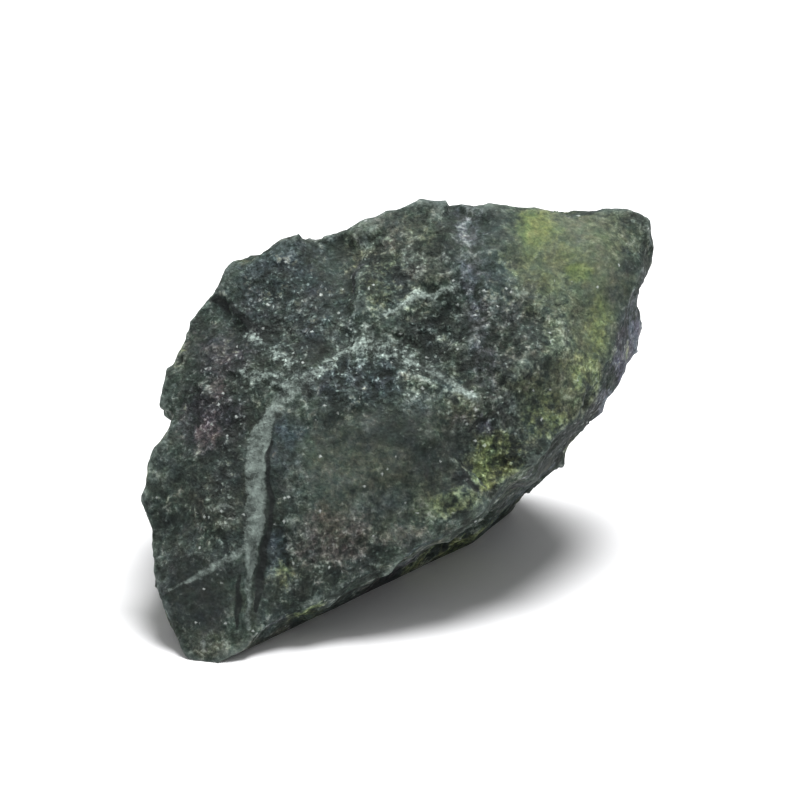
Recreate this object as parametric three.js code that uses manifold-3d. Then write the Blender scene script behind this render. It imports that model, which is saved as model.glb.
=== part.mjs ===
// A rough lump of serpentine, split from its bed and never tumbled: one broad weathered face that
// leans back, fresh breaks round its sides and back, and a small flat patch that it rests on.
// Millimetres, +Z up, +Y to the back; the origin is on the resting plane, under the middle of the lump.
import * as THREE from "three";
import Module from "manifold-3d";
import { ConvexGeometry } from "three/addons/geometries/ConvexGeometry.js";
import { ImprovedNoise } from "three/addons/math/ImprovedNoise.js";
import { mergeVertices } from "three/addons/utils/BufferGeometryUtils.js";

const wasm = await Module();
wasm.setup();

const LONGEST_EDGE = 3.35; // of a triangle of the block and of the cutters
const MERGE_WITHIN = 1e-4;
const FLAT_WITHIN = 1e-3; // height of a point that counts as on the resting plane
const CLEARANCE = 4; // how far a cutter stands out of the face that it cuts
const NICK_OUTLINE = [[-0.5, 0], [0.5, 0], [-0.2, -1], [0.15, -0.9]]; // in widths and lengths of the nick
const LEDGE_REACH = 45; // of a ledge's cutter, to each side
const CELL = { size: 9, tilt: 0.22, rise: 0.7 }; // the fracture pattern's pieces
const CELL_PRIMES = [7919, 104729, 1299709]; // give each cell a number of its own
const REST_FADE = 2.5; // height over which the roughness grows from nothing at the resting plane
const NOISE_SHIFT = 7.3; // between the ripples' patterns
const RIPPLES = [
  { size: 13, height: 0.9 }, // swells of the whole face
  { size: 5.5, height: 0.55 }, // lumps
  { size: 2.9, height: 0.28 }, // knobs
];

// Corners of the split block before anything was chipped off it, as [x, y, z].
const FACE_OUTLINE = [
  [-22, 0.5, 0], // toe of the broad face, where it meets the resting plane
  [-26, 1.5, 0],
  [-30, 7.5, 7.5],
  [-31.5, 14.5, 16],
  [-29.5, 22, 26],
  [-26, 28.5, 35],
  [-20.5, 33, 40],
  [-6.5, 35.5, 43],
  [4, 37, 46.5], // highest corner
  [12.5, 38.5, 46],
  [29.5, 40.5, 44.5],
  [32, 40.5, 42.5],
  [28, 33, 36],
  [27.5, 28.5, 31],
  [25, 24.5, 26],
  [22, 20, 23],
  [15.5, 15.5, 19],
  [10, 12.5, 15.5],
  [-6.5, 6, 9.5],
  [-17, 3, 6],
];
// Where the face bulges inside that outline.
const FACE_RIDGES = [
  [-18.5, 4.8, 12.5], // brow over the toe
  [-15, 16.5, 26.5],
  [-4.5, 21.5, 33.6], // top of the arched ridge
  [10, 17, 28],
  [19.5, 23, 33],
  [8.5, 29, 42],
];
// Corners of the right side, the top and the back.
const BACK = [
  [31.8, 41, 32],
  [30.8, 37, 27],
  [28.3, 32, 23],
  [-20, 45, 33],
  [-2, 50, 37],
  [22, 48, 38],
  [27, 47, 26],
  [-28, 38, 22],
  [-29, 26, 10],
  [-22, 48, 12],
  [2, 54, 12],
  [19, 49, 12],
];
// Corners of the flat patch that the lump stands on.
const REST_PATCH = [
  [-27, 12, 0],
  [-20, 34, 0],
  [-8, 46, 0],
  [8, 48, 0],
  [15, 43, 0],
  [10, 34, 0],
  [-6, 18, 0],
];

// Places where the surface stepped down as it broke. Each has a riser along its upper side, deepest in
// the middle, and a floor that comes back up to the face below it and at both ends: where the riser
// stands, which way the face looks there, how far the step is turned in degrees, and its three sizes.
const NICKS = [
  // the broad face
  { at: [-20.7, 28, 35.4], facing: [-0.3, -0.7, 0.65], roll: -42, width: 11, height: 11, depth: 1.9 },
  { at: [-14.5, 25.5, 35], facing: [-0.15, -0.72, 0.68], roll: -28, width: 8, height: 5, depth: 0.9 },
  { at: [-9.6, 23, 34.2], facing: [-0.1, -0.72, 0.68], roll: 24, width: 6, height: 4.5, depth: 1.4 },
  { at: [-14.5, 19.5, 30.6], facing: [-0.2, -0.78, 0.6], roll: -14, width: 9, height: 5, depth: 1.1 },
  { at: [2.8, 19.2, 30.8], facing: [0.1, -0.74, 0.67], roll: 153, width: 21, height: 15, depth: 1.5 },
  { at: [19, 25.5, 35.3], facing: [0.15, -0.68, 0.72], roll: -46, width: 22, height: 15, depth: 0.5 },
  { at: [3.6, 25.7, 38.3], facing: [0, -0.7, 0.71], roll: 16, width: 12, height: 7, depth: 1.1 },
  { at: [10.2, 14.4, 18.4], facing: [0, -0.88, 0.48], roll: 130, width: 6.5, height: 5, depth: 1 },
  { at: [8.7, 15.6, 24.3], facing: [0, -0.88, 0.48], roll: 20, width: 6, height: 4.5, depth: 0.8 },
  { at: [-16.4, 11.3, 20.4], facing: [-0.1, -0.86, 0.5], roll: 86, width: 19, height: 10, depth: 0.8 },
  { at: [-25.5, 13, 19.5], facing: [-0.55, -0.72, 0.42], roll: 40, width: 11, height: 8, depth: 1 },
  { at: [-4.5, 30, 39.2], facing: [-0.05, -0.68, 0.73], roll: -92, width: 13, height: 6, depth: 0.6 },
  { at: [22.5, 34, 41.8], facing: [0.1, -0.6, 0.79], roll: 14, width: 11, height: 8, depth: 0.9 },
  // its rim
  { at: [31.8, 38.8, 39], facing: [0.9, -0.3, 0.3], roll: 30, width: 5, height: 4.5, depth: 1.3 },
  { at: [6.4, 37.4, 46], facing: [0, -0.3, 0.95], roll: 70, width: 7, height: 6, depth: 1.5 },
  { at: [-15.5, 34.5, 42], facing: [-0.2, -0.2, 0.96], roll: 100, width: 8, height: 7, depth: 1.2 },
  { at: [24, 23, 25], facing: [0.6, -0.75, -0.2], roll: 60, width: 9, height: 7, depth: 1.4 },
  { at: [-2, 8, 9.5], facing: [0.3, -0.85, -0.4], roll: 40, width: 8, height: 7, depth: 1.3 },
  // sides and back
  { at: [-29, 28, 11], facing: [-0.97, 0.05, -0.2], roll: -20, width: 14, height: 9, depth: 1.9 },
  { at: [-25, 42, 29], facing: [-0.7, 0.6, 0.35], roll: 24, width: 17, height: 14, depth: 2.6 },
  { at: [-16, 50, 14], facing: [-0.45, 0.88, -0.05], roll: -32, width: 17, height: 12, depth: 2.3 },
  { at: [14, 52, 22], facing: [0.35, 0.93, 0.05], roll: 38, width: 19, height: 13, depth: 2.5 },
  { at: [26, 41, 19], facing: [0.85, 0.2, -0.45], roll: 25, width: 14, height: 11, depth: 1.4 },
  { at: [12, 24, 9], facing: [0.5, -0.55, -0.67], roll: -35, width: 17, height: 12, depth: 1.8 },
  { at: [12, 45, 41], facing: [0.05, 0.5, 0.86], roll: 160, width: 17, height: 11, depth: 1.8 },
];

// Steps of the same kind that run right across a side, along the grain of the stone.
const LEDGES = [
  { at: [-29, 27, 22], facing: [-0.98, 0.1, 0.1], roll: 28, height: 10, depth: 1.7 },
  { at: [-4, 49.2, 31.5], facing: [-0.05, 0.85, 0.5], roll: 12, height: 13, depth: 2.2 },
  { at: [4, 53, 17], facing: [0.05, 1, 0.05], roll: -14, height: 12, depth: 1.6 },
  { at: [27.5, 45, 33], facing: [0.85, 0.5, 0.1], roll: -22, height: 9, depth: 1.6 },
  { at: [-14, 40, 39], facing: [-0.25, 0.4, 0.88], roll: 196, height: 9, depth: 1.4 },
];

// A geometry as a solid, and back.
function solidOf(geometry) {
  const bare = new THREE.BufferGeometry().setAttribute("position", geometry.getAttribute("position"));
  const merged = mergeVertices(bare, MERGE_WITHIN);
  return new wasm.Manifold(
    new wasm.Mesh({
      numProp: 3,
      vertProperties: merged.attributes.position.array,
      triVerts: new Uint32Array(merged.index.array),
    }),
  );
}

function geometryOf(solid) {
  const { vertProperties, triVerts } = solid.getMesh();
  return new THREE.BufferGeometry()
    .setAttribute("position", new THREE.BufferAttribute(vertProperties, 3))
    .setIndex(new THREE.BufferAttribute(triVerts, 1));
}

// Moves a cutter modelled about the origin, +z out of the face and +y up it, to its place on the lump.
function placed(cutter, { at, facing, roll }) {
  const out = new THREE.Vector3(...facing).normalize();
  const across = new THREE.Vector3(0, 0, 1).cross(out).normalize();
  const up = out.clone().cross(across);
  return cutter
    .rotateZ(THREE.MathUtils.degToRad(roll))
    .applyMatrix4(new THREE.Matrix4().makeBasis(across, up, out))
    .translate(...at);
}

// A step's cutter: its floor starts at the foot of the riser, and it widens until it is clear of the face.
function nickCutter(nick) {
  const { width, height, depth } = nick;
  const foot = new THREE.Vector3(0, 0, -depth);
  const mouth = NICK_OUTLINE.map(([x, y]) => {
    const corner = new THREE.Vector3(x * width, y * height, 0);
    return corner.lerp(foot, -CLEARANCE / depth);
  });
  return placed(new ConvexGeometry([foot, ...mouth]), nick);
}

function ledgeCutter(ledge) {
  const { height, depth } = ledge;
  const section = [[0, -depth], [0, CLEARANCE], [-height * (1 + CLEARANCE / depth), CLEARANCE]];
  const corners = section.flatMap(([y, z]) => [-1, 1].map((end) => new THREE.Vector3(end * LEDGE_REACH, y, z)));
  return placed(new ConvexGeometry(corners), ledge);
}

function splitBlock() {
  const corners = [...FACE_OUTLINE, ...FACE_RIDGES, ...BACK, ...REST_PATCH];
  return finelyFaceted(new ConvexGeometry(corners.map((corner) => new THREE.Vector3(...corner))));
}

// The solid of a shape, with triangles small enough to be roughened.
function finelyFaceted(geometry) {
  return solidOf(refined(geometryOf(solidOf(geometry)), LONGEST_EDGE).toNonIndexed());
}

function pointOf(attribute, i) {
  return new THREE.Vector3().fromBufferAttribute(attribute, i);
}

// The same surface with every edge split at its middle until none is longer than `longest`, but for the
// edges inside the resting patch, which stays flat.
function refined(geometry, longest) {
  const position = geometry.getAttribute("position");
  const points = Array.from({ length: position.count }, (_, i) => pointOf(position, i));
  const index = geometry.index.array;
  let faces = Array.from({ length: index.length / 3 }, (_, i) => [...index.subarray(3 * i, 3 * i + 3)]);
  for (;;) {
    const middles = new Map();
    const keyOf = (a, b) => (a < b ? `${a} ${b}` : `${b} ${a}`);
    const middle = (a, b) => middles.get(keyOf(a, b));
    const addMiddle = (a, b) => {
      if (!middles.has(keyOf(a, b)) && points[a].distanceTo(points[b]) > longest) {
        middles.set(keyOf(a, b), points.push(points[a].clone().add(points[b]).divideScalar(2)) - 1);
      }
    };
    for (const face of faces.filter((corners) => corners.some((i) => points[i].z > FLAT_WITHIN))) {
      face.forEach((corner, i) => addMiddle(corner, face[(i + 1) % 3]));
    }
    const split = ([a, b, c]) => {
      const [ab, bc, ca] = [middle(a, b), middle(b, c), middle(c, a)];
      const count = [ab, bc, ca].filter((m) => m !== undefined).length;
      if (count === 0) return [[a, b, c]];
      if (count === 3) return [[a, ab, ca], [ab, b, bc], [ca, bc, c], [ab, bc, ca]];
      if (count === 1) return ab === undefined ? split([b, c, a]) : [[a, ab, c], [ab, b, c]];
      if (ca !== undefined) return split([b, c, a]);
      const short = points[a].distanceTo(points[bc]) < points[ab].distanceTo(points[c]);
      return [[ab, b, bc], ...(short ? [[a, ab, bc], [a, bc, c]] : [[a, ab, c], [ab, bc, c]])];
    };
    faces = faces.flatMap(split);
    if (!middles.size) break;
  }
  return new THREE.BufferGeometry().setFromPoints(points).setIndex(faces.flat());
}

// One cell of the fracture pattern: the flat piece of surface round its seed, tilted and raised a little.
function fractureCell(column, row, layer) {
  THREE.MathUtils.seededRandom(1 + column * CELL_PRIMES[0] + row * CELL_PRIMES[1] + layer * CELL_PRIMES[2]);
  const jitter = () => THREE.MathUtils.seededRandom() - 0.5;
  return {
    seed: new THREE.Vector3(column + jitter(), row + jitter(), layer + jitter()).multiplyScalar(CELL.size),
    tilt: new THREE.Vector3(jitter(), jitter(), jitter()).multiplyScalar(CELL.tilt),
    rise: jitter() * CELL.rise,
  };
}

// How far the cell that a point belongs to raises it.
function fractureHeight(point) {
  const home = point.clone().divideScalar(CELL.size).round();
  const around = [-1, 0, 1];
  const cells = around.flatMap((i) =>
    around.flatMap((j) => around.map((k) => fractureCell(home.x + i, home.y + j, home.z + k))),
  );
  const distance = (cell) => cell.seed.distanceToSquared(point);
  const nearest = cells.reduce((best, cell) => (distance(cell) < distance(best) ? cell : best));
  return nearest.rise + nearest.tilt.dot(point.clone().sub(nearest.seed));
}

// Pushes the surface in and out by the ripples and the cells, and leaves the resting patch flat.
function roughened(geometry) {
  const noise = new ImprovedNoise();
  geometry.computeVertexNormals();
  const position = geometry.getAttribute("position");
  const normal = geometry.getAttribute("normal");
  for (let i = 0; i < position.count; i++) {
    const point = pointOf(position, i);
    const height = RIPPLES.reduce((sum, ripple, k) => {
      const at = point.clone().divideScalar(ripple.size).addScalar(NOISE_SHIFT * (k + 1));
      return sum + ripple.height * noise.noise(at.x, at.y, at.z);
    }, fractureHeight(point));
    point.addScaledVector(pointOf(normal, i), height * THREE.MathUtils.smoothstep(point.z, 0, REST_FADE));
    position.setXYZ(i, point.x, point.y, point.z);
  }
  return geometry;
}

// Puts the origin on the resting plane, under the middle of the lump.
function centred(geometry) {
  geometry.computeBoundingBox();
  const middle = geometry.boundingBox.getCenter(new THREE.Vector3());
  return geometry.translate(-middle.x, -middle.y, -geometry.boundingBox.min.z);
}

function stone() {
  const cutters = [...NICKS.map(nickCutter), ...LEDGES.map(ledgeCutter)].map(finelyFaceted);
  const lump = cutters.reduce((solid, cutter) => solid.subtract(cutter), splitBlock());
  const material = new THREE.MeshStandardMaterial({ color: 0x4a5248, roughness: 0.65, metalness: 0 });
  const mesh = new THREE.Mesh(centred(roughened(geometryOf(lump))), material);
  mesh.name = "serpentine_stone";
  return mesh;
}

const root = new THREE.Group();
root.add(stone());
export default root;
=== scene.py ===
"""A rough lump of serpentine on a plain pale floor: its broken surface, its mineral colours and the light."""

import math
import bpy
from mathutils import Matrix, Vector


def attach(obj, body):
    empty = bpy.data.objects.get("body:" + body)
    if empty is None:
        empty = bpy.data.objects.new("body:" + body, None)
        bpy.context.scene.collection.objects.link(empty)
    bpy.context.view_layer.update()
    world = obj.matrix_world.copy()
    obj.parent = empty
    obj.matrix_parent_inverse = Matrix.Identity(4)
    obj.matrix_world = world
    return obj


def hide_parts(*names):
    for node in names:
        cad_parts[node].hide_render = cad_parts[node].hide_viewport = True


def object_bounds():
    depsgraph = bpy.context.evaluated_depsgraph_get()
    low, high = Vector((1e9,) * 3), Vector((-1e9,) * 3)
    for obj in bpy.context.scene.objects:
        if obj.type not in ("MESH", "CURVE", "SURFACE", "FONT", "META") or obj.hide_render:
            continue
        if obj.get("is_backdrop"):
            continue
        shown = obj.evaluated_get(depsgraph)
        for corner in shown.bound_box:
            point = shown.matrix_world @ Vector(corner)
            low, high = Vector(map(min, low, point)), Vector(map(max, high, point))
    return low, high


bl_info = {
    "name": "Rough Serpentine Stone",
    "version": (1, 0, 0),
    "blender": (4, 5, 0),
    "location": "3D View > Sidebar > Serpentine",
    "description": "Breaks, grains and colours a rough lump of serpentine, and sets it on a plain stage",
    "category": "Object",
}

import bmesh
import bpy
import numpy as np
from bpy.props import FloatProperty, FloatVectorProperty, IntProperty, PointerProperty
from mathutils import Vector, noise

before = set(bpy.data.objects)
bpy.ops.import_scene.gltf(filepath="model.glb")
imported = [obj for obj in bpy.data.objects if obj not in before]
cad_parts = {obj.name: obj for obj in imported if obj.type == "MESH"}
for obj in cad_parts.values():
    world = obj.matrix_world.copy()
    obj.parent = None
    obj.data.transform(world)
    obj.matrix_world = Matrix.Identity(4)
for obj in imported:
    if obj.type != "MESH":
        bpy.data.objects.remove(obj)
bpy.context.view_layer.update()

MM = 0.001
NODE = "serpentine_stone"
ROUGH_STONE = "serpentine_rough_stone"

# The broad face leans back. Places on it are given in millimetres across it, from the stone's middle
# to the right, and up it, square to a line of sight that looks down at this angle.
FACE_LOOK_DOWN = math.radians(25)
FACE_UP = np.array([0, math.sin(FACE_LOOK_DOWN), math.cos(FACE_LOOK_DOWN)])
FACE_OUT = np.array([0, -math.cos(FACE_LOOK_DOWN), math.sin(FACE_LOOK_DOWN)])

# How squarely the surface looks the way that the broad face does (1 is squarely): where a look starts
# to show, and where it shows in full.
CALM_FACING = (0, 0.3)
RELIEF_FACING = (-0.1, 0.4)
MINERAL_FACING = (0.35, 0.6)
RIM_FACING = (-0.1, 0.15)

# Points of the block that are closer than this are one.
MERGE_DISTANCE = 0.001 * MM

# Softening of the block. The wide rounding takes this many times the passes of the narrow one. Clefts
# this deep, in millimetres, and the even parts of the face go these shares of the way to it.
WIDE_ROUNDING = 6
CLEFT_DEPTH = 0.3
CLEFT_SOFTENING = 0.7
CALM_SOFTENING = 0.8

# Relief of the broken surface. Sizes and heights are in millimetres, chips wander by a share of their
# size, and smooth and even parts lose a share of the relief.
LUMP_SIZE = 5
CHIP_SIZES = (6, 2.6, 1.2)
CHIP_WANDER = 0.35
GRAIN_SIZE = 0.8
VEIN_HEIGHT = 0.22
CRUST_HEIGHT = 0.15
SMOOTH_LOSS = 0.7
EVEN_LOSS = 0.8
# A raised band has its full height inside the first of these half widths, and ends at the second.
VEIN_EDGE = (0.6, 1.2)
CRUST_EDGE = (0.2, 1.4)
# Half widths by which noise frays the crusts, and the size of that noise in millimetres.
CRUST_FRAY = 0.8
CRUST_FRAY_SIZE = 1.5
# The relief starts this high above the floor and is full at the second height, in millimetres.
REST_LEVELS = (0.2, 2.5)
# It rises along normals that are evened out by this many passes.
NORMAL_ROUNDING = 10

# Noise: how its octaves fade, how much finer each one is, and how many there are.
NOISE_FADE = 0.9
NOISE_STEP = 2.1
NOISE_OCTAVES = 2
# How far along the same noise is read for different uses.
GRAIN_SHIFT = 5.1
CRUST_SHIFT = 8.3
PUSH_SHIFTS = (3.7, 17.3, 41.9)
# Spreads the chips' seeds, so that neighbours tilt and sink unlike each other.
SEED_SPREAD = 97.3

# A patch is whole inside the first share of its half size, and gone past the second.
PATCH_EDGE = (0.35, 1.35)
# In half widths of a band: farther than it ever shows, and what is added where the broad face ends.
FAR_OFF = 99.0
OFF_FACE = 9

# Marks for the material. Bumps stand out of the near rounding and humps out of the far one, after so
# many passes. They count in these heights, in millimetres, up to the limit either way.
NEAR_ROUNDING = 6
FAR_ROUNDING = 40
BUMP_HEIGHT = 0.04
HUMP_HEIGHT = 0.3
MARK_LIMIT = 1.5
# How far bands and patches are pushed about, and the size of the noise that does it, in millimetres.
WARP_REACH = 0.4
WARP_SIZE = 2.2
# Clouds away from the broad face: their size in millimetres, and the noise at which they start and fill.
CLOUD_SIZE = 13
CLOUD_EDGE = (0.05, 0.6)

# Finish of the rock, with the size of its crystals in millimetres.
CRYSTAL_SIZE = 0.55
SPECULAR_LEVEL = 0.25
BUMP_STRENGTH = 0.6
BUMP_DEPTH = 0.3 * MM

# The stage: each light's name, place, size and power, in metres and watts, and the rest in metres.
LIGHTS = [
    ("overhead_light", (0.1, 0.1, 0.75), 0.4, 9.4),
    ("side_light", (-0.5, -0.3, 0.55), 0.5, 0.5),
]
SKY_STRENGTH = 0.33
FLOOR_HALF_WIDTH = 3
FLOOR_ROUGHNESS = 0.7
SENSOR_WIDTH_MM = 36

# Bands of pale mineral that cross the broad face: (across, up, half the width there).
MAIN_VEIN = [
    (-15.7, 20.2, 0.4),
    (-16.6, 18.4, 0.9),
    (-17.5, 15.8, 1.2),
    (-17.8, 12.4, 1.2),
    (-17.8, 9, 1.2),
    (-18.1, 5.5, 1.15),
    (-18.4, 3.2, 0.95),
    (-18.5, 1, 0.6),
    (-18.6, -0.8, 0.3),
]
SIDE_VEINS = [
    [(-19.1, 3, 0.5), (-21.6, 1.6, 0.4), (-23.8, 0.3, 0.3), (-25.8, -1, 0.2), (-30, -2.8, 0.12)],
    [(-17, 17.8, 0.7), (-14.8, 21, 0.9), (-12.6, 23, 0.8), (-10.2, 24.8, 0.5)],
    [(-18.6, 0.4, 0.4), (-18.8, -6.8, 0.2)],
    [(0.6, 26.9, 0.4), (2.6, 25.5, 0.35), (5, 24.1, 0.4), (9.2, 21.7, 0.3)],
]
# Pale crumbly crust along the ridges.
CRUSTS = [
    [
        (-19.5, 29.5, 0.4), (-15.2, 26.8, 0.9), (-12, 24.2, 0.7),
        (-9.6, 24.9, 0.6), (-8, 26.6, 0.7), (-6.4, 27.6, 1.1),
    ],
    [
        (-6.4, 27.6, 1.1), (-4.4, 28, 1.5), (-2.2, 27.6, 1.2), (0.4, 26.8, 0.9),
        (2.6, 25.4, 0.7), (5, 24.1, 0.6), (9.4, 21.5, 0.35),
    ],
    [(-19.8, 24.9, 0.6), (-17, 24.1, 1), (-14.5, 23.2, 0.8), (-12, 23.8, 0.8)],
    [(-2, 31.8, 0.25), (2, 34.4, 0.4), (3.6, 34.1, 0.35), (6.9, 35.2, 0.4)],
]
# Wider bands where the rock is crumbly and a little paler.
CRUMBLES = [
    [(-5.6, 27.4, 1.3), (-6.8, 30, 1.2), (-5.4, 32.5, 0.4), (-4.9, 36, 0.3), (-4.1, 41, 0.2)],
    [(-4, 30.6, 0.5), (-1.2, 32.6, 0.8), (2, 34.4, 0.8), (3.6, 34.1, 0.7), (6.9, 35.2, 0.6)],
    [(8.4, 45, 0.4), (8.2, 41.2, 0.5), (8.4, 38, 0.3)],
    [(12.6, 38.4, 0.4), (16, 34, 0.8), (19.2, 30, 1), (21.2, 27.2, 1), (24, 25, 0.5)],
    [(-24.5, -10.4, 0.3), (-22, -8, 0.6), (-20.2, -6, 0.4)],
    [(-17.4, -4, 0.3), (-15.5, -3, 0.6), (-12, -1, 0.5), (-8, 1, 0.4)],
    [(-8, 24.4, 0.6), (-4.4, 25, 0.9), (-1.4, 23.2, 0.7), (3.6, 20.8, 0.5), (8, 19, 0.5)],
    [(2, 24.4, 0.2), (5, 22.8, 0.9), (9, 20.4, 0.9), (10.6, 19.4, 0.4)],
]
# Narrow clefts beside the veins and under the ridges: a shallow groove in the bump, with a near-black painted
# shadow laid in them.
SHADOW_PAINTED_CLEFTS = [
    [(-15.9, 16.6, 0.15), (-16.3, 14, 0.3), (-16.2, 11, 0.25), (-15.8, 8.4, 0.35), (-16.1, 5.5, 0.3)],
    [(-16.1, 5.5, 0.3), (-17, 1, 0.55), (-17.8, -4.5, 0.3)],
    [(-19.8, -0.5, 0.15), (-20, -3.5, 0.4), (-19.9, -6.5, 0.2)],
    [(8.6, 17.2, 0.15), (9.5, 18.6, 0.35), (11, 19, 0.2)],
    [(7.3, 13.6, 0.2), (8.2, 11.8, 0.45), (9.4, 10, 0.25)],
    [(-25, 34.6, 0.3), (-21.5, 33, 0.6), (-18.3, 30.2, 0.45)],
]

# Stains and patches of other minerals, a few of them also painted shade and one painted light: (across, up,
# half the width, half the height, strength).
YELLOW_GREEN = [
    (17.4, 42.8, 3.2, 3, 0.95),
    (22.3, 37.2, 2.2, 1.7, 0.95),
    (19, 38.5, 6, 5, 0.4),
    (24.6, 30.5, 1.8, 5.5, 0.6),
    (23, 25, 2.5, 4, 0.55),
    (18.5, 19, 3.5, 3.5, 0.5),
    (11.8, 14, 4, 4.4, 0.65),
    (9.8, 12.3, 1.1, 1.6, 1),
    (10.6, 10.6, 1.2, 1, 1),
    (7, 8.6, 3.2, 2.2, 0.5),
    (-14.5, -0.3, 1.6, 2.2, 0.35),
    (-2, 36, 6, 5, 0.2),
    (2, 42, 5, 3, 0.1),
]
MOSS = [
    (21, 39.5, 9.5, 9, 1),
    (23.8, 31, 3.8, 8, 1),
    (16.4, 33.6, 2.2, 2.6, 0.6),
    (19.5, 29.5, 2.4, 3.2, 0.7),
    (21.5, 24, 4, 7, 0.9),
    (16.5, 21.5, 5, 5, 0.6),
    (5, 8.4, 5, 2, 0.7),
    (4.6, 23.6, 5, 2, 0.4),
    (-4.8, 41.6, 2.2, 2, 0.9),
    (8, 20.4, 4, 2.8, 0.75),
    (11, 14, 5, 5, 0.5),
]
MINT = [
    (27, 34.8, 2.4, 1.6, 0.4),
    (-14, 29.8, 2.5, 1.6, 0.7),
    (-7.8, 29.6, 2, 1.8, 0.8),
    (-12.5, 32.8, 6, 1.8, 0.5),
    (-4.6, 42, 2.4, 2.4, 1),
    (1.8, 38.7, 2, 2, 0.6),
    (6, 38.6, 3.4, 1.8, 0.5),
    (4.6, 35.4, 2, 1.2, 0.5),
    (7.6, 30.5, 1.8, 5.5, 0.6),
    (13.4, 19.3, 2, 3.4, 1),
    (7.6, 16, 2.4, 3, 1),
    (11.8, 12.8, 0.9, 0.9, 0.9),
    (3, 20.8, 5, 1.8, 0.5),
    (3.4, 29.6, 3, 2.2, 0.4),
    (-1.5, 8.8, 5.5, 1.6, 0.6),
    (1.6, 9.6, 2, 1.8, 0.5),
    (-13.4, 11.4, 2, 2.6, 0.8),
    (7.6, 26.4, 1.8, 2, 0.8),
]
# Some of these are painted shade beside the clefts, such as the patches at (-18, 29.8), (-10.6, 27.5) and
# (7.4, 11.8); the others are dark green rock.
DEEP_GREEN_AND_SHADE = [
    (-25.5, -3.5, 5, 5.5, 1),
    (-26.4, 0, 4, 3.4, 1),
    (-20.6, -0.4, 2.4, 1.6, 0.7),
    (3.8, 14.2, 3.4, 3, 0.9),
    (0, 17.2, 4.4, 2.2, 1),
    (-16.6, 14.5, 0.9, 3, 0.7),
    (-25.4, 26.6, 2.4, 1.6, 0.7),
    (-21.4, 12, 2.2, 6.5, 0.9),
    (-9.5, 36, 3.5, 2.4, 0.45),
    (-4.5, 35.6, 2.6, 1.6, 0.6),
    (-10.6, 27.5, 2.4, 1.8, 1),
    (-18, 29.8, 3.4, 1.6, 0.9),
    (-22.5, 33, 1.8, 1.6, 0.5),
    (4.6, 26.9, 2.4, 1.4, 1),
    (7.4, 11.8, 1.2, 1.6, 1),
    (16, 35.8, 4.4, 2.2, 0.5),
    (4.6, 44, 1.6, 2, 0.4),
    (7.4, 36.2, 1.3, 1.8, 0.5),
    (12.5, 33.5, 4, 5, 0.2),
    (29, 38.2, 1.5, 1.4, 0.9),
]
PURPLE = [
    (-23.4, 19, 5, 5.5, 0.9),
    (-22, 27, 5, 4, 0.8),
    (31, 33.5, 1.2, 5, 1),
    (28.2, 26.5, 2, 6, 1),
    (24.6, 19, 2, 4, 1),
    (-17, 32, 4, 4, 0.3),
]
BLUE_GREY = [
    (-14.4, 16, 2.6, 4.5, 0.9),
    (-15.2, 3, 1.8, 5, 0.7),
    (-14, 33, 10, 8, 0.7),
    (-6, 24, 9, 4, 0.7),
    (-16, 38, 8, 4, 0.7),
    (12.5, 36, 4, 7, 0.7),
    (28.6, 29, 1.4, 4.5, 0.8),
]
ASH = [
    (-8.5, 4.2, 6, 4.2, 0.9),
    (-23.5, 16.5, 3, 4, 0.3),
    (-24, 27, 4, 3, 0.35),
    (0, 4.5, 6, 1.6, 0.6),
    (14, 31, 5, 5, 0.35),
    (-23, 23.6, 2.4, 2, 0.5),
    # This patch is partly real paler crumbs and partly painted light that lifts the shade of the dent beside
    # it.
    (7.6, 17.2, 2.8, 2.8, 0.75),
]
LILAC = [
    (8.4, 43.5, 2.6, 4.5, 0.6),
    (8.8, 36.5, 1.6, 4, 0.7),
    (9.8, 31, 1.8, 5, 0.6),
    (10.6, 24.5, 1.5, 6, 0.5),
    (10.6, 17.8, 1.4, 1.4, 0.9),
    (-29.6, -2.4, 1, 1.4, 0.5),
]
BLUE_LILAC = [
    (30, 29.4, 1.7, 2.6, 1),
    (28.6, 25.4, 1.8, 3.4, 1),
    (26.2, 20.6, 1.5, 2.6, 0.8),
    (9.6, 19.6, 0.8, 1, 0.5),
]
PINK = [
    (-23.8, 17.2, 2.2, 2.6, 0.7),
    (-22.6, 23.4, 2.8, 2.8, 0.4),
    (-25, 29, 1.6, 1.8, 0.4),
    (-8.4, 3.6, 4.4, 2.4, 0.4),
    (-1, 40.6, 3, 2, 0.35),
]
OLIVE = [
    (-1, 41, 7, 4.5, 0.7),
    (3, 38, 5, 4, 0.6),
    (2, 14, 10, 6, 0.55),
    (-6, 13, 7, 8, 0.45),
    (-22, 9, 4, 5, 0.6),
    (15, 24, 5, 6, 0.4),
    (-24, -8, 3, 3.4, 0.8),
]
# In the same way, where the face is smoother, more even, or full of small crystals.
SMOOTH = [
    (-4, 13, 10, 8, 0.75),
    (4, 17, 6, 5, 0.4),
    (-25, -3, 5, 5, 0.6),
    (-18, 8, 3, 12, 0.5),
    (19, 41, 10, 7, 0.9),
    (25.5, 36, 5, 6, 0.9),
    (25, 29, 5, 5, 0.5),
    (-9.5, 36, 3.5, 4, 0.5),
    (-10.6, 27.6, 2.2, 1.8, 0.8),
]
EVEN = [
    (-16, 36, 10, 7, 1),
    (-12, 29, 9, 6, 0.9),
    (20, 38, 10, 9, 1),
    (25, 28, 6, 8, 0.8),
    (-4, 13, 9, 8, 0.5),
    (7, 16, 5, 5.5, 1),
]
SPARKLING = [
    (-13.8, 31, 8.5, 9, 0.9),
    (-4, 24.5, 11, 4, 1),
    (3.5, 29, 5, 4, 1),
    (10, 19.5, 5, 4, 1),
    (-22, 21, 6, 8, 0.8),
    (10, 28, 9, 8, 0.6),
    (-22, 7, 4, 6, 0.7),
    (-9, 3, 8, 4, 0.7),
    (12, 14, 5, 5, 0.9),
    (-2, 37, 6, 5, 0.6),
]

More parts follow.
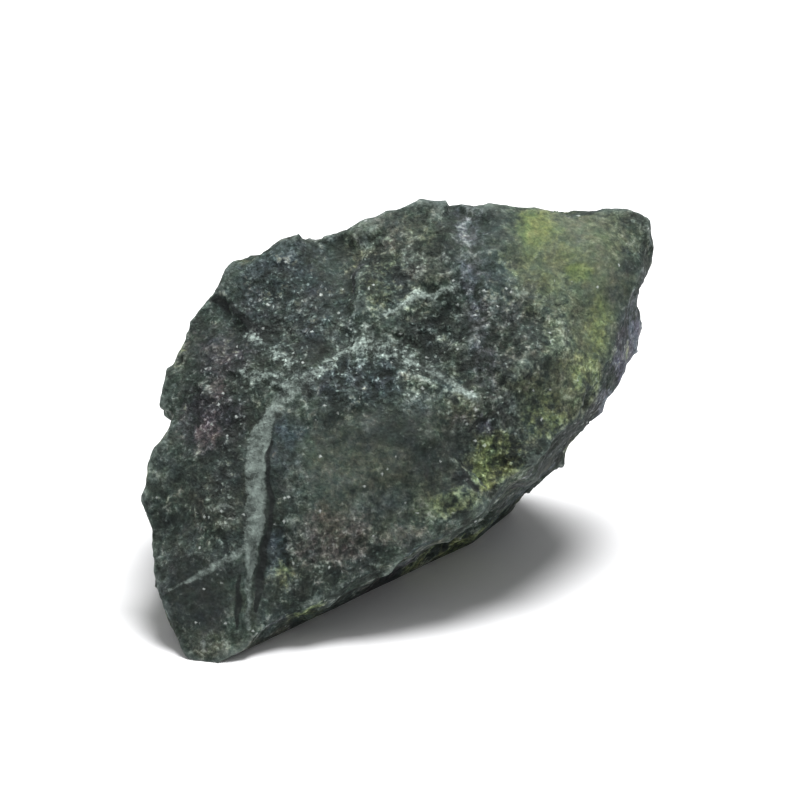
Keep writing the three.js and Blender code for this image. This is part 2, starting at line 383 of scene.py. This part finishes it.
# What the surface is marked with: its patches on the broad face, how much of it shows in clouds on the
# other sides, and the shift that sets its clouds apart.
MINERALS = {
    "smooth": (SMOOTH, 0.8, 11),
    "even": (EVEN, 0.5, 22),
    "yellow_green": (YELLOW_GREEN, 0.6, 33),
    "moss": (MOSS, 0.7, 44),
    "mint": (MINT, 0.6, 55),
    "deep_green_and_shade": (DEEP_GREEN_AND_SHADE, 0.8, 66),
    "purple": (PURPLE, 0.8, 77),
    "blue_grey": (BLUE_GREY, 0.8, 88),
    "ash": (ASH, 0.6, 99),
    "lilac": (LILAC, 0.5, 110),
    "olive": (OLIVE, 0.8, 121),
    "sparkling": (SPARKLING, 0.8, 132),
    "pink": (PINK, 0.4, 154),
    "blue_lilac": (BLUE_LILAC, 0.3, 165),
}
# These also show on the rim, where the broad face turns away.
RIM_MINERALS = ("purple", "lilac", "blue_lilac")
# The minerals that colour the rock, with the painted shade among the deep green, in the order in which they
# are laid over it.
LAID_OVER = (
    "olive",
    "blue_grey",
    "purple",
    "moss",
    "ash",
    "pink",
    "mint",
    "deep_green_and_shade",
    "lilac",
    "blue_lilac",
    "yellow_green",
)


def piece_mm(obj):
    """The vertices of a mesh object in millimetres, one row each."""
    flat = np.empty(3 * len(obj.data.vertices))
    obj.data.vertices.foreach_get("co", flat)
    return flat.reshape(-1, 3) / MM


def put_mm(obj, places):
    obj.data.vertices.foreach_set("co", (places * MM).ravel())
    obj.data.update()


def normals_of(obj):
    flat = np.empty(3 * len(obj.data.vertices), np.float32)
    obj.data.vertex_normals.foreach_get("vector", flat)
    return flat.reshape(-1, 3).astype(float)


def smooth_step(values, low, high):
    t = np.clip((values - low) / (high - low), 0, 1)
    return t * t * (3 - 2 * t)


def neighbour_mean(values, edges):
    """Each vertex's mean over the vertices that share an edge with it."""
    count = len(values)
    ends = np.concatenate([edges[:, 0], edges[:, 1]])
    others = np.concatenate([edges[:, 1], edges[:, 0]])
    share = np.bincount(ends, minlength=count)[:, None]
    total = np.stack([np.bincount(ends, column[others], count) for column in values.T], axis=1)
    return total / share


def rounded(values, edges, times):
    for _ in range(times):
        values = (values + neighbour_mean(values, edges)) / 2
    return values


def edges_of(obj):
    flat = np.empty(2 * len(obj.data.edges), np.int64)
    obj.data.edges.foreach_get("vertices", flat)
    return flat.reshape(-1, 2)


def noise_over(places, size, shift=0):
    """Fractal noise, about -1 to 1, with lumps of that size."""
    offset = Vector((shift, 2 * shift, -shift))
    points = (Vector(place) / size + offset for place in places)
    return np.array([noise.fractal(point, NOISE_FADE, NOISE_STEP, NOISE_OCTAVES) for point in points])


def push_at(point):
    """A smooth push at that point, up to about 1 each way, which is the same on every run."""
    return Vector([noise.noise(point + Vector((shift, -shift, shift))) for shift in PUSH_SHIFTS])


def chips_over(places, size, hollow, tilt):
    """Heights of shallow chips of that size that meet in crisp ridges, each tilted and sunk at random."""
    wander = CHIP_WANDER * size
    cell_middle = Vector((0.5, 0.5, 0.5))
    heights = []
    for place in places:
        point = Vector(place)
        point = (point + push_at(point / size) * wander) / size
        chips = []
        for seed in noise.voronoi(point)[1]:
            chance = noise.cell_vector(seed * SEED_SPREAD) - cell_middle
            reach = point - seed
            chips.append(hollow * reach.dot(reach) + tilt * (chance.dot(reach) + 0.5 * chance.x))
        heights.append(size * min(chips))
    return np.array(heights) - np.mean(heights)


def along(shifts, normals):
    """How far each vertex's shift goes outwards."""
    return np.einsum("ij,ij->i", shifts, normals)


def face_share(normals, limits):
    """How much of a look of the broad face shows where the surface has these normals, 0 to 1."""
    return smooth_step(normals @ FACE_OUT, *limits)


def on_face(places):
    """How far across and up the broad face each place is."""
    return places[:, 0], places @ FACE_UP


def patches_over(places, patches):
    """The strongest of some soft oval patches on the broad face, 0 to 1."""
    across, up = on_face(places)
    best = np.zeros(len(places))
    for x, y, half_width, half_height, strength in patches:
        reach = np.hypot((across - x) / half_width, (up - y) / half_height)
        best = np.maximum(best, strength * (1 - smooth_step(reach, *PATCH_EDGE)))
    return best


def band_over(places, band):
    """Distance from the middle of a band on the broad face, in half widths of the band there."""
    across, up = on_face(places)
    best = np.full(len(places), FAR_OFF)
    for (x0, y0, w0), (x1, y1, w1) in zip(band, band[1:]):
        run, rise = x1 - x0, y1 - y0
        t = np.clip(((across - x0) * run + (up - y0) * rise) / (run * run + rise * rise), 0, 1)
        reach = np.hypot(across - x0 - t * run, up - y0 - t * rise) / (w0 + t * (w1 - w0))
        best = np.minimum(best, reach)
    return best


def bands_over(places, bands):
    """Distance from the middle of the nearest of some bands, in its half widths."""
    return np.minimum.reduce([band_over(places, band) for band in bands])


def length_setting(name, description, default):
    return FloatProperty(name=name, description=description, default=default, unit="LENGTH")


def colour_setting(name, description, default):
    return FloatVectorProperty(name=name, description=description, default=default, subtype="COLOR")


class StoneRelief(bpy.types.PropertyGroup):
    mesh_step: length_setting("Mesh step", "Side of the faces that the surface is made of", 0.375 * MM)
    rounding: IntProperty(name="Rounding", description="Passes that soften the block's breaks", default=5)
    lump_height: length_setting("Lump height", "Height of the soft lumps", 0.15 * MM)
    chip_hollow: FloatProperty(
        name="Chip hollow", description="How deeply the chips between ridges are dished", default=0.22
    )
    chip_tilt: FloatProperty(name="Chip tilt", description="How much the chips tilt", default=0.3)
    grain_height: length_setting("Grain height", "Height of the grains of the surface", 0.045 * MM)


class StoneColours(bpy.types.PropertyGroup):
    dark: colour_setting("Dark rock", "Darkest body colour", (0.0185, 0.0255, 0.0215))
    body: colour_setting("Rock", "Main grey-green body colour", (0.0425, 0.0575, 0.0475))
    yellow_green: colour_setting("Yellow-green", "Translucent-looking patches", (0.118, 0.15, 0.062))
    moss: colour_setting("Moss", "Grey-green patches round the yellow-green", (0.085, 0.104, 0.068))
    mint: colour_setting("Mint", "Paler grey-green patches", (0.072, 0.09, 0.079))
    # Deep green is partly the rock's dark green and partly painted shade beside the clefts.
    deep_green_and_shade: colour_setting("Deep green", "Dark clean patches", (0.02, 0.0265, 0.0235))
    purple: colour_setting("Purple-grey", "Iron-stained patches", (0.033, 0.0355, 0.038))
    blue_grey: colour_setting("Blue-grey", "Bluish weathered patches", (0.037, 0.0515, 0.0535))
    olive: colour_setting("Olive", "Brownish green patches", (0.06, 0.069, 0.052))
    ash: colour_setting("Ash", "Pinkish grey crumbly patches", (0.088, 0.092, 0.08))
    pink: colour_setting("Pink", "Pinkish stains between the grains", (0.068, 0.056, 0.055))
    lilac: colour_setting("Lilac", "Lilac grey streaks", (0.072, 0.082, 0.09))
    blue_lilac: colour_setting("Blue-lilac", "Bluish stain down the right rim", (0.102, 0.111, 0.131))
    vein: colour_setting("Vein", "Pale green vein", (0.135, 0.165, 0.15))
    crust: colour_setting("Crust", "Pale crust on ridges and chipped edges", (0.19, 0.232, 0.212))
    flecks: colour_setting("Flecks", "Small pale crystals", (0.26, 0.3, 0.28))
    # The clefts' colour is painted shadow, near black where the narrow clefts fall into shade.
    cleft: colour_setting("Clefts", "Dark gaps beside the veins", (0.008, 0.01, 0.01))
    # Glints are partly white crystals and partly painted highlights: a few crystals are made near white, as
    # if catching the light.
    glints: colour_setting("Glints", "Scattered white crystals", (0.5, 0.54, 0.52))


class StageSettings(bpy.types.PropertyGroup):
    distance: length_setting("Camera distance", "From the stone's middle", 0.7)
    share: FloatProperty(
        name="Share of the frame", description="Part of the frame's width that the stone fills", default=0.64
    )
    floor: colour_setting("Floor", "Colour of the floor", (0.86, 0.86, 0.87))


class Wire:
    """An output of a shader node, which can be written in sums and products."""

    def __init__(self, tree, socket):
        self.tree = tree
        self.socket = socket

    def node(self, kind, settings, sockets, output=0):
        """Adds a node: its settings first, then the values or wires of its sockets."""
        made = self.tree.nodes.new(kind)
        for name, value in settings.items():
            setattr(made, name, value)
        for name, value in sockets.items():
            if isinstance(value, Wire):
                self.tree.links.new(value.socket, made.inputs[name])
            else:
                made.inputs[name].default_value = value
        return Wire(self.tree, made.outputs[output])

    def math(self, operation, *others):
        return self.node("ShaderNodeMath", {"operation": operation}, dict(enumerate((self, *others))))

    def vector(self, operation, *others):
        return self.node("ShaderNodeVectorMath", {"operation": operation}, dict(enumerate((self, *others))))

    def __add__(self, other):
        return self.math("ADD", other)

    __radd__ = __add__

    def __sub__(self, other):
        return self.math("SUBTRACT", other)

    def __rsub__(self, other):
        return self.math("MULTIPLY_ADD", -1, other)

    def __mul__(self, other):
        return self.math("MULTIPLY", other)

    __rmul__ = __mul__

    def exp(self):
        return self.math("EXPONENT")

    def step(self, low, high):
        """0 below low, 1 above high, and a soft curve between; low may be the greater."""
        sockets = {"Value": self, "From Min": low, "From Max": high}
        return self.node("ShaderNodeMapRange", {"interpolation_type": "SMOOTHSTEP"}, sockets)

    def colour_mix(self, low, high):
        """Colour low where this is 0, and high where it is 1."""
        pair = {0: self, 6: shown(low), 7: shown(high)}
        return self.node("ShaderNodeMix", {"data_type": "RGBA"}, pair, 2)

    def noise(self, size, detail=3, roughness=0.6, output=0):
        """Noise over these coordinates, with lumps of that size in their unit."""
        sockets = {"Vector": self, "Scale": 1 / size, "Detail": detail, "Roughness": roughness}
        return self.node("ShaderNodeTexNoise", {}, sockets, output)

    def cells(self, size, output):
        """Distances or random colours of angular cells of that size."""
        sockets = {"Vector": self, "Scale": 1 / size}
        return self.node("ShaderNodeTexVoronoi", {"distance": "MANHATTAN"}, sockets, output)

    def warped(self, size, reach):
        """These coordinates, pushed about by noise of that size, up to about half the reach each way."""
        push = self.noise(size, 2, 0.5, "Color").vector("SUBTRACT", (0.5, 0.5, 0.5))
        return push.vector("MULTIPLY_ADD", (reach, reach, reach), self)

    def tinted(self, colour):
        """That colour, made darker or lighter by this number."""
        return self.node("ShaderNodeVectorMath", {"operation": "SCALE"}, {0: colour, "Scale": self})

    def channel(self, name):
        """One number of this colour: Red, Green or Blue."""
        return self.node("ShaderNodeSeparateColor", {}, {0: self}, name)

    def attribute(self, name):
        return self.node("ShaderNodeAttribute", {"attribute_name": name}, {}, "Fac")


def shown(colour):
    """A colour as a socket takes it."""
    return colour if isinstance(colour, Wire) else (*colour, 1)


def new_material(name):
    """A material with its Principled shader, and a wire of the object's own coordinates in millimetres."""
    material = bpy.data.materials.new(name)
    material.use_nodes = True
    tree = material.node_tree
    shader = tree.nodes["Principled BSDF"]
    place = Wire(tree, tree.nodes.new("ShaderNodeTexCoord").outputs["Object"])
    scaled = place.node("ShaderNodeVectorMath", {"operation": "SCALE"}, {0: place, 3: 1 / MM})
    return material, shader, scaled


def feed(shader, socket, wire):
    wire.tree.links.new(wire.socket, shader.inputs[socket])


def serpentine_material(colours):
    """Dark grainy rock with its patches, veins, crusts and clefts.

    Sizes are in millimetres. The other numbers are weights, and the limits between which a look sets in.
    """
    material, shader, place = new_material("serpentine_rock")
    broad = place.warped(3, 2.5)
    fine = place.warped(0.7, 0.5)
    clouds = broad.noise(8, 3) - 0.5
    blotches = broad.noise(4.5, 3) - 0.5
    mottle = broad.noise(2.2, 4) - 0.5
    streaks = broad.vector("MULTIPLY", (0.3, 1, 1)).noise(0.6) - 0.5
    grain = fine.noise(0.75) - 0.5
    dust = fine.noise(0.36, 2) - 0.5
    tint = fine.noise(1.5, 4, 0.7, "Color")
    cast = broad.noise(4, 2, 0.5, "Color")
    crystals = fine.cells(CRYSTAL_SIZE, "Color")
    lot = crystals.channel("Red")
    shade = crystals.channel("Green")
    spots = fine.cells(CRYSTAL_SIZE, "Distance").step(0.75, 0.15)
    coarse = fine.cells(1.1, "Distance")
    raised = place.attribute("raised")
    bumps = place.attribute("bumps")
    sparkling = place.attribute("sparkling")
    smooth = place.attribute("smooth")
    lively = 1.25 - 0.9 * place.attribute("even")
    ragged = (1.5 * mottle + 1.2 * grain) * (1.1 - 0.5 * smooth)

    def patch(name):
        """How much of a mineral shows, with a cloudy border."""
        return (place.attribute(name) + ragged).step(0.15, 1.05)

    colour = (lively * (clouds + 0.4 * mottle)).step(-0.3, 0.2).colour_mix(colours.dark, colours.body)
    # the minerals are laid over the body colour; the deep green is partly painted shade beside the clefts
    for name in LAID_OVER:
        colour = patch(name).colour_mix(colour, getattr(colours, name))
    colour = colour.vector("MULTIPLY", tint.vector("MULTIPLY_ADD", (0.6, 0.25, 0.5), (0.7, 0.87, 0.75)))
    colour = colour.vector("MULTIPLY", cast.vector("MULTIPLY_ADD", (0.3, 0.1, 0.4), (0.84, 0.95, 0.8)))

    # every grain and crystal is darker or lighter than its neighbours, and the palest stand out, a few of
    # them as painted glints; raised edges are worn paler, and the hollows get painted shade
    tone = lively * (0.9 * blotches + 1.5 * mottle)
    grit = tone + 2.3 * grain + 2.4 * dust + 1.3 * streaks + 0.6 * (shade - 0.5)
    grit = (grit + 0.2 * bumps) * (0.95 + 0.35 * sparkling - 0.5 * smooth)
    crumble = (place.attribute("crumble") - 1.5 * ragged).step(2.2, 0)
    grit = grit + 1.8 * sparkling * (spots * lot - 0.22) + crumble * (0.25 + 0.5 * spots)
    colour = grit.exp().tinted(colour)
    flecks = grit.step(0.3, 1.4)
    colour = (0.35 * flecks).colour_mix(colour, colours.flecks)
    # painted glints: a few crystals are made near white, partly white crystals and partly painted highlight
    glints = (lot + 0.02 * sparkling + 0.05 * mottle).step(0.985, 0.99) * spots
    colour = (0.7 * glints).colour_mix(colour, colours.glints)
    worn = (raised + ragged).step(0.4, 1.3)
    colour = (0.3 * worn).colour_mix(colour, colours.crust)
    # painted shade: the colour is darkened towards the dark rock in the surface's hollows and pits
    hollow = (raised + 0.4 * bumps + 0.5 * ragged).step(-0.4, -1.4)
    colour = (0.45 * hollow).colour_mix(colour, colours.dark)

    # bands of pale mineral, crumbly on the ridges and firm in the vein, and painted shadow in the clefts
    # beside them
    crumbs = (grit + 0.2 * bumps).step(-0.6, 0.6)
    crust = (place.attribute("crust") - 2.6 * ragged).step(1.8, -0.2) * (0.2 + 0.8 * crumbs)
    colour = (0.7 * crust).colour_mix(colour, (0.65 * grit).exp().tinted(colours.crust))
    reach = place.attribute("vein") - 0.8 * ragged
    breaks = (mottle + 0.8 * grain).step(-0.16, -0.04)
    vein = reach.step(1.25, 0.8) * (0.55 + 0.45 * breaks)
    side_vein = (place.attribute("side_vein") - 1.2 * ragged).step(1.8, 0.3) * (0.5 + 0.5 * crumbs)
    pale = (0.6 * grit + mottle).exp().tinted(colours.vein)
    colour = (0.9 * vein).math("MAXIMUM", 0.85 * side_vein).colour_mix(colour, pale)
    # painted shadow: the clefts are laid over with a near-black colour
    cleft = (place.attribute("cleft") - 0.8 * ragged).step(1.4, 0.6)
    colour = (0.85 * cleft).colour_mix(colour, colours.cleft)

    feed(shader, "Base Color", colour)
    feed(shader, "Roughness", 0.85 - 0.2 * grain - 0.2 * flecks)
    relief = 0.4 * coarse * coarse + 0.3 * spots + 0.4 * dust + 0.3 * grain
    relief = relief * (0.9 + 0.6 * sparkling - 0.5 * smooth)
    relief = relief + 0.4 * vein + 0.2 * crust - 0.5 * cleft
    sockets = {"Strength": BUMP_STRENGTH, "Distance": BUMP_DEPTH, "Height": relief}
    feed(shader, "Normal", relief.node("ShaderNodeBump", {}, sockets))
    shader.inputs["Specular IOR Level"].default_value = SPECULAR_LEVEL
    return material


def mesh_of(shape, name):
    """The mesh that a bmesh makes; the bmesh is freed."""
    mesh = bpy.data.meshes.new(name)
    shape.to_mesh(mesh)
    shape.free()
    return mesh


def placed(context, name, data, place=(0, 0, 0)):
    """A new object in the scene, at that place."""
    made = bpy.data.objects.new(name, data)
    made.location = place
    context.collection.objects.link(made)
    return made


def aim(looker, target):
    """Turns a light or a camera towards a place."""
    looker.rotation_euler = (target - looker.location).to_track_quat("-Z", "Y").to_euler()


class SERPENTINE_OT_stone(bpy.types.Operator):
    """Models the broken surface of the lump on the block, and gives it its mineral colours"""

    bl_idname = "serpentine.stone"
    bl_label = "Serpentine Stone"

    def execute(self, context):
        relief = context.scene.serpentine_relief
        stone = self.remeshed_block(context, relief.mesh_step)
        edges = edges_of(stone)
        put_mm(stone, self.softened(piece_mm(stone), normals_of(stone), edges, relief.rounding))
        self.break_surface(stone, edges, relief)
        self.mark_surface(stone, edges)
        stone.data.shade_smooth()
        stone.data.materials.clear()
        stone.data.materials.append(serpentine_material(context.scene.serpentine_colours))
        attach(stone, "root")
        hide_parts(NODE)
        return {"FINISHED"}

    def remeshed_block(self, context, step):
        """A finely and evenly meshed copy of the block."""
        shape = bmesh.new()
        shape.from_mesh(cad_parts[NODE].data)
        bmesh.ops.remove_doubles(shape, verts=shape.verts, dist=MERGE_DISTANCE)
        mesh = mesh_of(shape, ROUGH_STONE)
        block = placed(context, ROUGH_STONE, mesh)
        remesh = block.modifiers.new("Even mesh", "REMESH")
        remesh.mode = "VOXEL"
        remesh.voxel_size = step
        context.view_layer.update()
        fine = bpy.data.meshes.new_from_object(block.evaluated_get(context.evaluated_depsgraph_get()))
        block.modifiers.clear()
        block.data = fine
        bpy.data.meshes.remove(mesh)
        return block

    def softened(self, places, normals, edges, times):
        """Rounds the block's breaks a little, and more in its narrow clefts and even parts."""
        places = rounded(places, edges, times)
        wide = rounded(places, edges, WIDE_ROUNDING * times)
        cleft = smooth_step(along(places - wide, normals), 0, -CLEFT_DEPTH)
        calm = face_share(normals, CALM_FACING) * patches_over(places, EVEN)
        share = np.maximum(CLEFT_SOFTENING * cleft, CALM_SOFTENING * calm)
        return places + share[:, None] * (wide - places)

    def break_surface(self, stone, edges, relief):
        """Adds lumps, chips, grains and raised veins, and keeps the resting patch flat."""
        places = piece_mm(stone)
        normals = rounded(normals_of(stone), edges, NORMAL_ROUNDING)
        normals /= np.linalg.norm(normals, axis=1)[:, None]
        facing = face_share(normals, RELIEF_FACING)
        rough = 1 - SMOOTH_LOSS * facing * patches_over(places, SMOOTH)
        calm = 1 - EVEN_LOSS * facing * patches_over(places, EVEN)
        crumbly = 1 + facing * patches_over(places, SPARKLING)
        height = relief.lump_height / MM * noise_over(places, LUMP_SIZE)
        for size, share in zip(CHIP_SIZES, (0.5 * calm, 0.55 * calm, 0.5 * crumbly)):
            height += share * rough * chips_over(places, size, relief.chip_hollow, relief.chip_tilt)
        grains = noise_over(places, GRAIN_SIZE, GRAIN_SHIFT)
        height += rough * crumbly * relief.grain_height / MM * grains
        vein = band_over(places, MAIN_VEIN)
        height += VEIN_HEIGHT * facing * (1 - smooth_step(vein, *VEIN_EDGE))
        crust = bands_over(places, CRUSTS)
        crust += CRUST_FRAY * noise_over(places, CRUST_FRAY_SIZE, CRUST_SHIFT)
        height += CRUST_HEIGHT * facing * (1 - smooth_step(crust, *CRUST_EDGE))
        height *= smooth_step(places[:, 2], *REST_LEVELS)
        places += normals * height[:, None]
        places[:, 2] = np.maximum(places[:, 2], 0)
        put_mm(stone, places)

    def mark_surface(self, stone, edges):
        """Keeps, for the material, where the surface stands up and where each mineral shows."""
        places = piece_mm(stone)
        normals = normals_of(stone)
        facing = face_share(normals, MINERAL_FACING)
        elsewhere = 1 - facing
        glimpsed = face_share(normals, RIM_FACING)
        near = rounded(places, edges, NEAR_ROUNDING)
        bump = along(places - near, normals)
        hump = along(near - rounded(near, edges, FAR_ROUNDING), normals)
        warped = places + WARP_REACH * np.array([push_at(Vector(place) / WARP_SIZE) for place in places])
        fields = {
            "raised": np.clip(hump / HUMP_HEIGHT, -MARK_LIMIT, MARK_LIMIT),
            "bumps": np.clip(bump / BUMP_HEIGHT, -MARK_LIMIT, MARK_LIMIT),
            "vein": band_over(warped, MAIN_VEIN),
            "side_vein": bands_over(warped, SIDE_VEINS),
            "cleft": bands_over(warped, SHADOW_PAINTED_CLEFTS) + OFF_FACE * elsewhere,
            "crust": bands_over(warped, CRUSTS) + OFF_FACE * elsewhere,
            "crumble": bands_over(warped, CRUMBLES) + OFF_FACE * elsewhere,
        }
        for name, (ovals, share, shift) in MINERALS.items():
            seen = glimpsed if name in RIM_MINERALS else facing
            cloud = smooth_step(noise_over(places, CLOUD_SIZE, shift), *CLOUD_EDGE)
            fields[name] = np.maximum(seen * patches_over(warped, ovals), share * elsewhere * cloud)
        for name, values in fields.items():
            layer = stone.data.attributes.new(name, "FLOAT", "POINT")
            layer.data.foreach_set("value", values.astype(np.float32))


class SERPENTINE_OT_stage(bpy.types.Operator):
    """Adds the floor, the soft light and the camera"""

    bl_idname = "serpentine.stage"
    bl_label = "Stage"

    def execute(self, context):
        settings = context.scene.serpentine_stage
        low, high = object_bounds()
        middle = (Vector(low) + Vector(high)) / 2
        self.add_floor(context, settings)
        for light in LIGHTS:
            self.add_light(context, *light)
        self.add_world(context)
        self.add_camera(context, settings, middle, high[0] - low[0])
        context.scene.view_settings.view_transform = "Standard"
        return {"FINISHED"}

    def add_floor(self, context, settings):
        shape = bmesh.new()
        bmesh.ops.create_grid(shape, x_segments=1, y_segments=1, size=FLOOR_HALF_WIDTH)
        mesh = mesh_of(shape, "floor")
        floor = placed(context, "floor", mesh)
        material, shader, _ = new_material("floor")
        shader.inputs["Base Color"].default_value = (*settings.floor, 1)
        shader.inputs["Roughness"].default_value = FLOOR_ROUGHNESS
        mesh.materials.append(material)
        floor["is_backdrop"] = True

    def add_light(self, context, name, place, size, power):
        light = bpy.data.lights.new(name, "AREA")
        light.shape = "DISK"
        light.size = size
        light.energy = power
        aim(placed(context, name, light, place), Vector((0, 0, 0)))

    def add_world(self, context):
        world = bpy.data.worlds.new("studio")
        world.use_nodes = True
        background = world.node_tree.nodes["Background"]
        background.inputs["Color"].default_value = (1, 1, 1, 1)
        background.inputs["Strength"].default_value = SKY_STRENGTH
        context.scene.world = world

    def add_camera(self, context, settings, middle, width):
        camera = bpy.data.cameras.new("camera")
        camera.sensor_width = SENSOR_WIDTH_MM
        camera.lens = SENSOR_WIDTH_MM * settings.distance * settings.share / width
        holder = placed(context, "camera", camera, middle + settings.distance * Vector(FACE_OUT))
        aim(holder, middle)
        context.scene.camera = holder


class SERPENTINE_PT_panel(bpy.types.Panel):
    bl_label = "Serpentine"
    bl_space_type = "VIEW_3D"
    bl_region_type = "UI"
    bl_category = "Serpentine"

    def draw(self, context):
        for name, operators in PANEL_ROWS.items():
            settings = getattr(context.scene, name)
            box = self.layout.box()
            for prop in settings.__annotations__:
                box.prop(settings, prop)
            for operator in operators:
                box.operator(operator)


PANEL_ROWS = {
    "serpentine_relief": [],
    "serpentine_colours": ["serpentine.stone"],
    "serpentine_stage": ["serpentine.stage"],
}
CLASSES = (
    StoneRelief,
    StoneColours,
    StageSettings,
    SERPENTINE_OT_stone,
    SERPENTINE_OT_stage,
    SERPENTINE_PT_panel,
)


def register():
    for made in CLASSES:
        bpy.utils.register_class(made)
    bpy.types.Scene.serpentine_relief = PointerProperty(type=StoneRelief)
    bpy.types.Scene.serpentine_colours = PointerProperty(type=StoneColours)
    bpy.types.Scene.serpentine_stage = PointerProperty(type=StageSettings)


def unregister():
    del bpy.types.Scene.serpentine_stage
    del bpy.types.Scene.serpentine_colours
    del bpy.types.Scene.serpentine_relief
    for made in reversed(CLASSES):
        bpy.utils.unregister_class(made)


def main():
    register()
    bpy.ops.serpentine.stone()
    bpy.ops.serpentine.stage()


if __name__ == "__main__":
    main()
